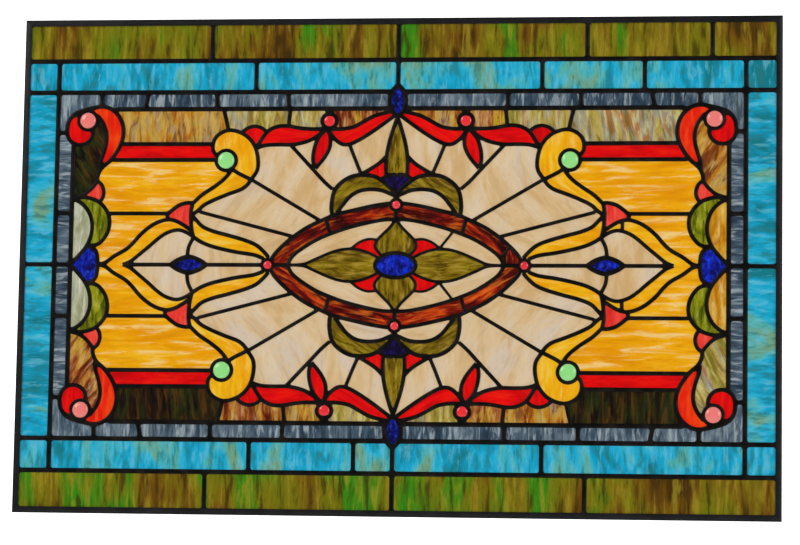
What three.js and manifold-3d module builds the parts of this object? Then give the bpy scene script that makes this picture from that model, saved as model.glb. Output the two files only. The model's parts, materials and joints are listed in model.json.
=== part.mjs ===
// A leaded stained glass window panel: coloured glass held in a net of soldered lead lines, inside
// four mitred zinc channels. Millimetres, +Z up, +X right, the front faces -Y. The origin is the
// middle of the bottom edge. The pattern is drawn for the upper left quarter and mirrored twice.
import * as THREE from 'three';
import { mergeVertices } from 'three/addons/utils/BufferGeometryUtils.js';
import Module from 'manifold-3d';

const wasm = await Module();
wasm.setup();

// Driving dimensions.
const PANEL_WIDTH = 762;
const PANEL_HEIGHT = 498;
const CHANNEL_FACE = 6.35;
const CHANNEL_DEPTH = 6;
const CHANNEL_WALL = 1.2;
const GLASS_THICKNESS = 3;
const SOLDER_DEPTH = 5.4;
const GAP = 0.3;
const BORDER_LINE = 4.6;
const PATTERN_LINE = 4;
const FINE_LINE = 2.8;
const JEWEL_DOME = 3;
const SIDES_OF_RING = 8;
const CURVE_TOLERANCE = 1.4;
const OUTLINE_TOLERANCE = 0.6;
const SMALLEST_CELL = 6;

// Heights of the border rows and distances of the border columns, from the middle of the panel.
const OLIVE_ROW = 206.5;
const TURQUOISE_ROW = 174.5;
const GRAY_ROW = 157.4;
const TURQUOISE_COLUMN = 345.1;
const GRAY_COLUMN = 328.7;

// What follows from them.
const OPENING_X = PANEL_WIDTH / 2 - CHANNEL_FACE;
const OPENING_Y = PANEL_HEIGHT / 2 - CHANNEL_FACE;
const GLASS_X = PANEL_WIDTH / 2 - CHANNEL_WALL - GAP;
const GLASS_Y = PANEL_HEIGHT / 2 - CHANNEL_WALL - GAP;
const NET_X = OPENING_X - GAP;
const NET_Y = OPENING_Y - GAP;
const GLASS_FACE = GLASS_THICKNESS / 2;
const SOLDER_FACE = SOLDER_DEPTH / 2;
const BAR_BACK = GLASS_FACE + GAP;
const BAR_FRONT = SOLDER_FACE - 0.1;

// Lead lines that go right through the panel, between two glasses of different colour: the middle of
// each line, as the points that a smooth curve passes. Each list is one line of the quarter pattern.
const THROUGH_CURVES = [
  // Corner scroll and its hook.
  [[335.6, 134.5], [334.6, 144], [329, 152], [320.5, 156], [310.5, 158.6], [301.5, 160.2],
    [292.5, 158.5], [284.5, 152.5], [279.5, 144], [277.8, 134.5], [279, 125], [283.5, 115],
    [291, 105], [299.3, 97.5], [303, 90], [303.4, 84]],
  [[335.6, 134.5], [333.8, 127.8], [329, 123], [322.3, 121.2], [315.6, 123], [310.8, 127.8],
    [309, 134.5], [310, 138.5]],
  [[305.5, 152], [299, 143.5], [295.3, 134], [295, 124], [297.6, 113], [300.6, 104], [301.2, 97]],
  [[303.4, 84], [308.5, 77.5], [316.5, 71], [328.7, 67]],
  [[303.4, 85], [298.6, 80.5], [296.4, 74], [297.2, 68], [300, 63.5]],
  // Side crescent and the blue heart.
  [[328.7, 67.5], [317.5, 68], [309.5, 66.8], [302, 63.8], [295.5, 58], [291, 50.5], [289.6, 42],
    [291.5, 32.5], [296.5, 24.5], [302.5, 20], [312, 18.8]],
  [[328.7, 66.5], [320.5, 63], [313.5, 56.5], [309, 48], [307.4, 38], [308.7, 28], [312.5, 19],
    [319, 10.5], [328.7, 0]],
  [[312, 18.8], [304.5, 15.5], [301.5, 10], [300.6, 0]],
  // Spear, the red leaf above it and the two ribbons of the gold scroll.
  [[300.6, 0], [293, 2], [284, 8.5], [272, 15.5], [264.5, 22.5], [258, 30], [250, 37], [241, 42.5],
    [230.5, 45.5], [222, 44], [213.5, 39.5], [204.5, 33]],
  [[275, 0], [267, 3.5], [257, 11.5], [248, 19], [240, 26], [231, 32], [220.5, 35], [212, 33],
    [204.5, 28.5]],
  [[231, 50.5], [225.5, 55.5], [218, 60.5], [209.5, 62.5], [205, 62]],
  [[205, 62.5], [206.8, 54], [206.6, 44], [205.6, 35], [203.6, 27]],
  [[205, 62], [196, 70.5], [184, 78.5], [174.5, 86], [168.5, 93], [166.5, 99]],
  [[206.3, 50], [200, 54.5], [194, 60], [184, 65.2], [170, 71], [157, 75.8], [150.5, 80.5],
    [146.5, 86]],
  [[206, 50], [200, 43.5], [194, 38], [183, 33.5], [168, 29.5], [151, 24.5], [139.5, 19.5],
    [131, 12], [127, 7]],
  [[203.8, 28], [197, 23.5], [187, 19.2], [173, 15.5], [158, 12.5], [142, 10], [131.5, 6]],
  // Head of the gold scroll and the red leaves.
  [[180.5, 108.5], [185.6, 115], [185.5, 124], [181, 131], [172, 135.6], [162, 134.8],
    [151.5, 129.5], [143.5, 119.5], [140, 106], [140.8, 95], [147, 85.5]],
  [[157.5, 133], [151, 138], [143, 139.8], [136, 137.5], [131, 133]],
  [[142.5, 117.5], [138.5, 124], [131.5, 134], [122, 139.2], [111, 140], [98, 137.8], [84, 136.8],
    [71, 137.5]],
  [[142.5, 117.5], [132, 120.6], [119, 121.2], [105, 121.2], [91, 124.3], [81, 129.5],
    [73, 136.5]],
  [[72, 136.5], [79.5, 127.5], [83.5, 116], [84.3, 105], [82, 97]],
  [[70, 136.5], [67.4, 128], [68, 118], [73, 108], [82, 97]],
  [[68, 137], [56, 136.8], [44, 139], [34, 144.3], [23, 150], [10, 153.5], [4, 154.5]],
  [[68.5, 134.5], [63.5, 127.5], [56, 121.8], [48, 121.5], [38, 126], [26, 133.5], [14, 142],
    [2, 151]],
  // Top marquise, teardrop, small triangle, heart and crescent.
  [[0, 181.5], [5.5, 175], [8.2, 165], [5.5, 155], [0, 148.5]],
  [[0, 148.5], [3.4, 139], [8, 123], [10.6, 108], [10.9, 97], [10.2, 89]],
  [[36, 91], [28, 95.5], [18, 102], [10.5, 109.5]],
  [[0, 91], [9, 90], [15, 86.5]],
  [[64.5, 51], [64.8, 62], [62, 75], [54, 84], [43, 89.5], [31, 90.3], [20, 88], [9, 80], [0, 71.5]],
  [[60, 52], [53.5, 60.5], [47, 68.3], [38, 74], [27, 76], [15, 75], [6, 71.5], [0, 69]],
  // Ring of the eye.
  [[124.5, 5.5], [120, 12.5], [107, 25], [91, 36.5], [75, 44.5], [62, 50], [45, 54.5], [25, 59],
    [10, 61.5], [5, 61.9]],
  [[108.5, 0], [103, 9], [93, 17], [79, 25.5], [63, 32.3], [46, 38], [28, 42.5], [13, 45.3],
    [0, 46]],
  // Blue marquise of the spade.
  [[226.3, 0], [219, 4.8], [208.3, 8], [197.6, 4.8], [190.3, 0]],
];

const THROUGH_FINE_CURVES = [
  [[95, 0], [80, 6], [64, 12.8], [51, 16], [38, 15.7], [26, 12], [16.5, 7.2]],
  [[0, 46], [6, 38], [14, 30], [19.6, 23.5], [20, 17], [13.5, 9.2]],
  [[44, 17], [37, 22.5], [28, 26], [18.8, 25.5]],
];

const THROUGH_STRAIGHTS = [
  [[279.5, 122], [187.5, 121.8]],
  [[288.5, 105.8], [180, 105.8]],
  [[231, 52], [230.5, 45]],
  [[0, 46], [0, 55.5]],
  [[122.5, 0], [94, 0]],
];

// Rays of the cream fan, divides of the amber field and the spade, and the corner squares. They part
// glasses of one colour, and lie in front of the glass as flat bars.
const BARS = [
  [[146.5, 86], [76, 44.5]],
  [[198.5, 53.4], [101, 28]],
  [[107, 120.5], [64, 76]],
  [[48, 121.5], [35, 90]],
  [[290.5, 51.6], [231, 51.6]],
  [[275, 0], [226.3, 0]],
  [[190.3, 0], [133.5, 0]],
  [[TURQUOISE_COLUMN, OLIVE_ROW], [TURQUOISE_COLUMN, TURQUOISE_ROW]],
];

// Round and oval lines: middle x, middle y, half width, half height and width of the line.
const PINK_RING = [314.4, 146, 9.6, 9.6, 3.6];
const GREEN_RING = [172.3, 105.3, 10.1, 10.1, 3.8];
const RINGS = [
  PINK_RING,
  GREEN_RING,
  [68.5, 145, 7.3, 7.3, 4],
  [128.3, 0, 5.6, 5.6, 3.4],
  [0, 60.5, 5.6, 5.6, 3.4],
  [0, 0, 20.3, 12.3, 4],
];
const BALL_STEM = [[68.5, 149], [68.5, GRAY_ROW]];
const BALL_STEM_WIDTH = 10;

const QUARTERS = [
  ['top_left', -1, 1],
  ['top_right', 1, 1],
  ['bottom_left', -1, -1],
  ['bottom_right', 1, -1],
];
const SIDES = [['left', -1], ['right', 1]];
const ENDS = [['top', 1], ['bottom', -1]];

// Glasses: name, a point inside the cell of lead lines that the glass fills, and its colour.
const QUARTER_GLASSES = [
  ['marbled_panel', [230, 140], '#b09a50'],
  ['amber_field', [240, 80], '#fbb414'],
  ['gold_scroll', [160, 120], '#ffc21a'],
  ['cream_fan', [120, 90], '#dcc6a4'],
  ['eye_white', [70, 20], '#e0cbb0'],
  ['eye_ring', [40, 48], '#8a2a0c'],
  ['red_bar', [230, 114], '#e6060c'],
];
const SIDE_GLASSES = [
  ['turquoise_column', [360, 10], '#18a4c4'],
  ['gray_border', [337, 20], '#5c7080'],
  ['gold_spear', [284, 1], '#ffc21a'],
  ['cream_spade', [240, 10], '#dcc6a4'],
  ['blue_heart', [312, 5], '#1c30c8'],
  ['olive_petal', [60, 5], '#8a7a14'],
];
const END_GLASSES = [
  ['olive_band', [50, 225], '#7a7a12'],
  ['turquoise_band', [50, 190], '#34b4d4'],
  ['olive_petal', [5, 25], '#8a7a14'],
];

function material(color, roughness, metalness) {
  return new THREE.MeshStandardMaterial({ color, roughness, metalness });
}

// Of a run of points, the ends and those that keep the run within the tolerance.
function thinned(points, tolerance) {
  const first = points[0];
  const last = points.at(-1);
  const along = last.clone().sub(first).normalize();
  const offsets = points.map((point) => Math.abs(along.cross(point.clone().sub(first))));
  const farthest = offsets.indexOf(Math.max(...offsets));
  if (offsets[farthest] < tolerance) return [first, last];
  const before = thinned(points.slice(0, farthest + 1), tolerance);
  const after = thinned(points.slice(farthest), tolerance);
  return [...before.slice(0, -1), ...after];
}

function toVectors(points) {
  return points.map(([x, y]) => new THREE.Vector2(x, y));
}

function smoothed(points) {
  const curve = new THREE.SplineCurve(toVectors(points));
  return thinned(curve.getPoints(6 * (points.length - 1)), CURVE_TOLERANCE);
}

function mirrored(points, sideX, sideY) {
  return points.map((point) => new THREE.Vector2(sideX * point.x, sideY * point.y));
}

// The outline of a line of one width along the points, with mitred bends and square ends.
function strokeShape(points, width) {
  const directions = points.slice(1).map((point, i) => point.clone().sub(points[i]).normalize());
  const edges = [1, -1].map((edge) => points.map((point, i) => {
    const before = directions[Math.max(i - 1, 0)];
    const after = directions[Math.min(i, directions.length - 1)];
    const bend = before.clone().add(after).normalize();
    const reach = edge * width / 2 / bend.dot(after);
    return new THREE.Vector2(point.x - bend.y * reach, point.y + bend.x * reach);
  }));
  return new THREE.Shape([...edges[0], ...edges[1].reverse()]);
}

// The oval that a round line encloses, out to a distance past the middle of the line.
function ovalShape([x, y, halfWidth, halfHeight], reach) {
  const shape = new THREE.Shape();
  return shape.absellipse(x, y, halfWidth + reach, halfHeight + reach, 0, 2 * Math.PI);
}

function ringShape([x, y, halfWidth, halfHeight, width]) {
  const shape = ovalShape([x, y, halfWidth, halfHeight], width / 2);
  shape.holes.push(ovalShape([x, y, halfWidth, halfHeight], -width / 2));
  return shape;
}

// Solids for joining and cutting.
function toSolid(geometry) {
  geometry.deleteAttribute('normal');
  geometry.deleteAttribute('uv');
  const merged = mergeVertices(geometry);
  return new wasm.Manifold(new wasm.Mesh({
    numProp: 3,
    vertProperties: merged.attributes.position.array,
    triVerts: new Uint32Array(merged.index.array),
  }));
}

function toGeometry(solid) {
  const mesh = solid.getMesh();
  const geometry = new THREE.BufferGeometry();
  geometry.setAttribute('position', new THREE.BufferAttribute(mesh.vertProperties, 3));
  geometry.setIndex(new THREE.BufferAttribute(mesh.triVerts, 1));
  geometry.computeVertexNormals();
  return geometry;
}

function slab(shape, from, to) {
  const depth = to - from;
  const settings = { depth, bevelEnabled: false, curveSegments: SIDES_OF_RING / 2 };
  return toSolid(new THREE.ExtrudeGeometry(shape, settings).translate(0, 0, from));
}

function block(halfX, halfY, from, to) {
  const box = new THREE.BoxGeometry(2 * halfX, 2 * halfY, to - from);
  return toSolid(box.translate(0, 0, (from + to) / 2));
}

function joined(solids) {
  return solids.reduce((all, solid) => all.add(solid));
}

const borderLines = [
  ...[-1, 1].flatMap((side) => [
    [[-PANEL_WIDTH / 2, side * OLIVE_ROW], [PANEL_WIDTH / 2, side * OLIVE_ROW]],
    [[side * TURQUOISE_COLUMN, -TURQUOISE_ROW], [side * TURQUOISE_COLUMN, TURQUOISE_ROW]],
    [[side * GRAY_COLUMN, -122], [side * GRAY_COLUMN, 122]],
  ]),
  ...QUARTERS.flatMap(([, sideX, sideY]) => [
    [[sideX * 6, sideY * TURQUOISE_ROW], [sideX * PANEL_WIDTH / 2, sideY * TURQUOISE_ROW]],
    [[sideX * 7, sideY * GRAY_ROW], [sideX * 287, sideY * GRAY_ROW]],
  ]),
].map(toVectors);

const quarterLines = [
  ...THROUGH_CURVES.map((points) => [smoothed(points), PATTERN_LINE]),
  ...THROUGH_FINE_CURVES.map((points) => [smoothed(points), FINE_LINE]),
  ...THROUGH_STRAIGHTS.map((points) => [toVectors(points), PATTERN_LINE]),
  [toVectors(BALL_STEM), BALL_STEM_WIDTH],
];

function frontBars() {
  const shapes = QUARTERS.flatMap(([, sideX, sideY]) => BARS.map((points) => (
    strokeShape(mirrored(toVectors(points), sideX, sideY), PATTERN_LINE)
  )));
  return joined(shapes.map((shape) => slab(shape, BAR_BACK, BAR_FRONT)));
}

// The cells between the lines that go right through, each as the outlines of its edge and holes.
function cellOutlines() {
  const strokes = [
    ...borderLines.map((points) => strokeShape(points, BORDER_LINE)),
    ...QUARTERS.flatMap(([, sideX, sideY]) => quarterLines.map(([points, width]) => (
      strokeShape(mirrored(points, sideX, sideY), width)
    ))),
  ];
  const rings = QUARTERS.flatMap(([, sideX, sideY]) => RINGS.map(([x, y, ...sizes]) => (
    [sideX * x, sideY * y, ...sizes]
  )));
  const solidOf = (shapes) => joined(shapes.map((shape) => slab(shape, -SOLDER_DEPTH, SOLDER_DEPTH)));
  const lines = solidOf(strokes)
    .subtract(solidOf(rings.map((ring) => ovalShape(ring, 0))))
    .add(solidOf(rings.map(ringShape)));
  const plate = block(GLASS_X + GAP, GLASS_Y + GAP, -GLASS_FACE, GLASS_FACE);
  const solids = plate.subtract(lines).decompose();
  return solids.filter((solid) => solid.volume() > SMALLEST_CELL * GLASS_THICKNESS).map(topOutlines);
}

// The outlines of a flat solid's upper face, with the material on the left of each.
function topOutlines(solid) {
  const { vertProperties, triVerts } = solid.getMesh();
  const isTop = (vertex) => vertProperties[3 * vertex + 2] > 0;
  const next = new Map();
  for (let i = 0; i < triVerts.length; i += 3) {
    const corners = [...triVerts.slice(i, i + 3)];
    if (corners.every(isTop)) {
      corners.forEach((from, k) => {
        const to = corners[(k + 1) % 3];
        if (next.get(to)?.has(from)) next.get(to).delete(from);
        else next.set(from, (next.get(from) ?? new Set()).add(to));
      });
    }
  }
  const outlines = [];
  for (const start of next.keys()) {
    const outline = [];
    let vertex = start;
    while (next.get(vertex)?.size) {
      const [to] = next.get(vertex);
      next.get(vertex).delete(to);
      outline.push(new THREE.Vector2(vertProperties[3 * vertex], vertProperties[3 * vertex + 1]));
      vertex = to;
    }
    if (outline.length > 2) outlines.push(cleaned(outline));
  }
  return outlines;
}

// A closed outline without the slivers that crossing lines leave.
function cleaned(outline) {
  const middle = outline.reduce((sum, point) => sum.add(point), new THREE.Vector2());
  const farFrom = (points, place) => {
    const distances = points.map((point) => point.distanceTo(place));
    return distances.indexOf(Math.max(...distances));
  };
  const start = farFrom(outline, middle.divideScalar(outline.length));
  const turned = [...outline.slice(start), ...outline.slice(0, start)];
  const half = farFrom(turned, turned[0]);
  const one = thinned(turned.slice(0, half + 1), OUTLINE_TOLERANCE);
  const other = thinned([...turned.slice(half), turned[0]], OUTLINE_TOLERANCE);
  return [...one.slice(0, -1), ...other.slice(0, -1)];
}

// A closed outline moved to its left by a distance.
function movedLeft(outline, distance) {
  return outline.map((point, i) => {
    const before = point.clone().sub(outline.at(i - 1)).normalize();
    const after = outline[(i + 1) % outline.length].clone().sub(point).normalize();
    const bend = before.clone().add(after).normalize();
    const reach = distance / bend.dot(after);
    return new THREE.Vector2(point.x - bend.y * reach, point.y + bend.x * reach);
  });
}

function outlineShape(outlines) {
  const edge = outlines.find((outline) => !THREE.ShapeUtils.isClockWise(outline));
  const shape = new THREE.Shape(edge);
  const holes = outlines.filter((outline) => outline !== edge);
  shape.holes.push(...holes.map((outline) => new THREE.Path(outline)));
  return shape;
}

function isInside(outlines, x, y) {
  const crossings = outlines.flatMap((outline) => outline.map((point, i) => {
    const last = outline.at(i - 1);
    const crosses = (point.y > y) !== (last.y > y);
    return crosses && x < point.x + (last.x - point.x) * (y - point.y) / (last.y - point.y);
  }));
  return crossings.filter(Boolean).length % 2 === 1;
}

const glasses = [
  ...QUARTERS.flatMap(([place, sideX, sideY]) => QUARTER_GLASSES.map(([name, [x, y], color]) => (
    { name: `${name}_${place}`, x: sideX * x, y: sideY * y, color }
  ))),
  ...SIDES.flatMap(([place, side]) => SIDE_GLASSES.map(([name, [x, y], color]) => (
    { name: `${name}_${place}`, x: side * x, y, color }
  ))),
  ...ENDS.flatMap(([place, side]) => END_GLASSES.map(([name, [x, y], color]) => (
    { name: `${name}_${place}`, x, y: side * y, color }
  ))),
  { name: 'blue_oval', x: 0, y: 0, color: '#0a36c4' },
];
const jewels = QUARTERS.flatMap(([place, sideX, sideY]) => (
  [['pink', PINK_RING, '#ff8a8a'], ['green', GREEN_RING, '#9cf090']].map(([name, ring, color]) => (
    { name: `${name}_jewel_${place}`, x: sideX * ring[0], y: sideY * ring[1], ring, color }
  ))
));

const cells = cellOutlines();
const panel = new THREE.Group();

function addMesh(name, geometry, color, roughness, metalness) {
  const mesh = new THREE.Mesh(geometry, material(color, roughness, metalness));
  mesh.name = name;
  panel.add(mesh);
  return mesh;
}

// Glass: each fills its cell, a gap clear of the lines.
for (const { name, x, y, color } of glasses) {
  const cell = cells.find((outlines) => isInside(outlines, x, y));
  const sheet = outlineShape(cell.map((outline) => movedLeft(outline, GAP)));
  addMesh(name, toGeometry(slab(sheet, -GLASS_FACE, GLASS_FACE)), color, 0.2, 0);
}

// Jewels: round, flat behind and domed in front.
function jewelGeometry([, , halfWidth, , width]) {
  const radius = halfWidth - width / 2 - GAP / Math.cos(Math.PI / SIDES_OF_RING);
  const profile = [
    [0, -GLASS_FACE],
    [radius, -GLASS_FACE],
    [radius, GLASS_FACE],
    [radius * 0.75, GLASS_FACE + JEWEL_DOME * 0.7],
    [0, GLASS_FACE + JEWEL_DOME],
  ];
  const geometry = new THREE.LatheGeometry(toVectors(profile), SIDES_OF_RING);
  return geometry.rotateX(Math.PI / 2).rotateZ(Math.PI / 2);
}

for (const { name, x, y, ring, color } of jewels) {
  addMesh(name, jewelGeometry(ring), color, 0.12, 0).position.set(x, y, 0);
}

// Lead net: a plate with a hole for each glass and jewel above, where the small glasses stay part
// of it as panes that are recessed in front and flush behind. Tongues reach into the channels.
function leadNet() {
  const isOwnPiece = (outlines) => (
    [...glasses, ...jewels].some(({ x, y }) => isInside(outlines, x, y))
  );
  const net = cells.reduce((rest, outlines) => {
    const floor = isOwnPiece(outlines) ? -SOLDER_DEPTH : GLASS_FACE;
    return rest.subtract(slab(outlineShape(outlines), floor, SOLDER_DEPTH));
  }, block(NET_X, NET_Y, -SOLDER_FACE, SOLDER_FACE));
  const tongues = [OLIVE_ROW, TURQUOISE_ROW].flatMap((row) => [-1, 1].map((side) => (
    block(GLASS_X, BORDER_LINE / 2, -GLASS_FACE, GLASS_FACE).translate([0, side * row, 0])
  )));
  return joined([net, frontBars(), ...tongues]);
}

addMesh('lead_net', toGeometry(leadNet()), '#1a1614', 0.45, 0.8);

// Zinc channels: a U section round the edge of the glass, with ends cut to a mitre.
function channelGeometry(length) {
  const half = CHANNEL_DEPTH / 2;
  const lip = GLASS_FACE + GAP;
  const section = [
    [0, -half], [CHANNEL_FACE, -half], [CHANNEL_FACE, -lip], [CHANNEL_WALL, -lip],
    [CHANNEL_WALL, lip], [CHANNEL_FACE, lip], [CHANNEL_FACE, half], [0, half],
  ];
  const settings = { depth: 2, bevelEnabled: false };
  const geometry = new THREE.ExtrudeGeometry(new THREE.Shape(toVectors(section)), settings);
  const position = geometry.translate(0, 0, -1).attributes.position;
  for (let i = 0; i < position.count; i += 1) {
    const mitre = length / 2 - position.getX(i) - GAP * Math.SQRT1_2;
    position.setZ(i, position.getZ(i) * mitre);
  }
  geometry.deleteAttribute('normal');
  geometry.deleteAttribute('uv');
  const closed = mergeVertices(geometry);
  closed.computeVertexNormals();
  return closed;
}

for (const [place, turn, length, reach] of [
  ['bottom', 0, PANEL_WIDTH, PANEL_HEIGHT / 2],
  ['right', 1, PANEL_HEIGHT, PANEL_WIDTH / 2],
  ['top', 2, PANEL_WIDTH, PANEL_HEIGHT / 2],
  ['left', 3, PANEL_HEIGHT, PANEL_WIDTH / 2],
]) {
  const edge = new THREE.Group();
  edge.rotation.z = turn * Math.PI / 2;
  panel.add(edge);
  const channel = addMesh(`zinc_channel_${place}`, channelGeometry(length), '#26262a', 0.5, 0.8);
  channel.rotation.set(Math.PI / 2, Math.PI / 2, 0);
  channel.position.y = -reach;
  edge.add(channel);
}

// The panel is modelled lying face up, and stands on its bottom edge.
panel.rotation.x = Math.PI / 2;
panel.position.z = PANEL_HEIGHT / 2;

const group = new THREE.Group();
group.add(panel);
export default group;
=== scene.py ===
"""A leaded stained glass window panel. The script follows the panel as it is put together: the
pattern of lead lines, the coloured glasses cut to it, the soldered net that holds them, the glass
jewels, and the zinc channels round the edge. Metres, +Z up, and the front faces -Y."""
import json
import math

import bmesh
import bpy
import numpy as np
from mathutils import Vector, kdtree, noise
from mathutils.geometry import delaunay_2d_cdt
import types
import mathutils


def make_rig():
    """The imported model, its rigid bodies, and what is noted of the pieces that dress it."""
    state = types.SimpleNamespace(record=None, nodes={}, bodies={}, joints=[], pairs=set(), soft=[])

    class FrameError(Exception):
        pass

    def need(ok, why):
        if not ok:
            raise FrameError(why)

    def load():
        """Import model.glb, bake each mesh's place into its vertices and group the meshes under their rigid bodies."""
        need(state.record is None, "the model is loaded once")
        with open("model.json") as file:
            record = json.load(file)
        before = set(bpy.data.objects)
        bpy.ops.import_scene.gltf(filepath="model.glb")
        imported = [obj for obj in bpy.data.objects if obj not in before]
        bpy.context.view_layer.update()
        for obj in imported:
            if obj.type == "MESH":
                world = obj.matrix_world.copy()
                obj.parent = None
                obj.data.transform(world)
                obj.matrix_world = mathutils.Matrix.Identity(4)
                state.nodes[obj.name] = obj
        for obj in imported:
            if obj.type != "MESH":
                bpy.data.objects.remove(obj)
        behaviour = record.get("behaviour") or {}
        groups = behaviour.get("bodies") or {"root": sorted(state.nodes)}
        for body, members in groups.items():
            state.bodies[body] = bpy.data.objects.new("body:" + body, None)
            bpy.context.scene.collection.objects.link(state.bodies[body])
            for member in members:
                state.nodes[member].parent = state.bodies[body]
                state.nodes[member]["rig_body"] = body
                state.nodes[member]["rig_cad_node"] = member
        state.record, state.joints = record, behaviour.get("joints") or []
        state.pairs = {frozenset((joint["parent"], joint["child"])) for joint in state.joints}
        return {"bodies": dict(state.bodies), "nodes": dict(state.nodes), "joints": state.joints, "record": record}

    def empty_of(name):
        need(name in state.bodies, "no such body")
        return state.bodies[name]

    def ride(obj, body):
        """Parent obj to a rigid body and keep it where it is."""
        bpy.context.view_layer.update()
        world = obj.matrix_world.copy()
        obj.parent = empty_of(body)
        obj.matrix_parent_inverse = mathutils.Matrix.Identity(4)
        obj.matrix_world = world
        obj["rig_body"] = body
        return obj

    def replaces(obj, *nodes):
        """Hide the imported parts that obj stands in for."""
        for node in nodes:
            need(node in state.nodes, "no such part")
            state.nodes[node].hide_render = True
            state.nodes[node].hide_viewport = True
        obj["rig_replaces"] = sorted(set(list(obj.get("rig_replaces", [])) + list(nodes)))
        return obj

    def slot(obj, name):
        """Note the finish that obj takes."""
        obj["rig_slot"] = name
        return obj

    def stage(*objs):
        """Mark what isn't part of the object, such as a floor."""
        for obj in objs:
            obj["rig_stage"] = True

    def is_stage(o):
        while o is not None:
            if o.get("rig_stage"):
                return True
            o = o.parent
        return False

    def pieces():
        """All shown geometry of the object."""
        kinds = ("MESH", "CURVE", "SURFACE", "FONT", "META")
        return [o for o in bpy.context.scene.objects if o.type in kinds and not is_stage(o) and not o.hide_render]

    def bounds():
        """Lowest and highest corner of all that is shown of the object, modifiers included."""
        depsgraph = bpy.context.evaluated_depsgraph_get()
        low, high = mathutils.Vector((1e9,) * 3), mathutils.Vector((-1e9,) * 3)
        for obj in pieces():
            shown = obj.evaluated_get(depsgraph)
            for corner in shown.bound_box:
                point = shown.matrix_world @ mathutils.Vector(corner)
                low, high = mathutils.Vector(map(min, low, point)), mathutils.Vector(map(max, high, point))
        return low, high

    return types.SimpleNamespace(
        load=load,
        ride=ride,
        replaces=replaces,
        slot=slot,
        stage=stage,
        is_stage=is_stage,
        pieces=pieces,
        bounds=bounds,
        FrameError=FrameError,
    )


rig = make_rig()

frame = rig.load()
solids_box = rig.bounds()
bpy.ops.object.select_all(action="DESELECT")


# ---- Pattern -----------------------------------------------------------------------------------
# The full size drawing that the glass is cut to. Its lead lines are the middles of soldered copper
# foil joints, in millimetres from the middle of the panel: the upper right quarter is drawn, and
# mirrored twice. Each line is its width and the points that it passes.
MM = 0.001
OPENING = (374.65, 242.65)
OLIVE_ROW = 206.5
TURQUOISE_ROW = 174.5
GRAY_ROW = 157.4
TURQUOISE_COLUMN = 345.1
GRAY_COLUMN = 328.7

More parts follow.
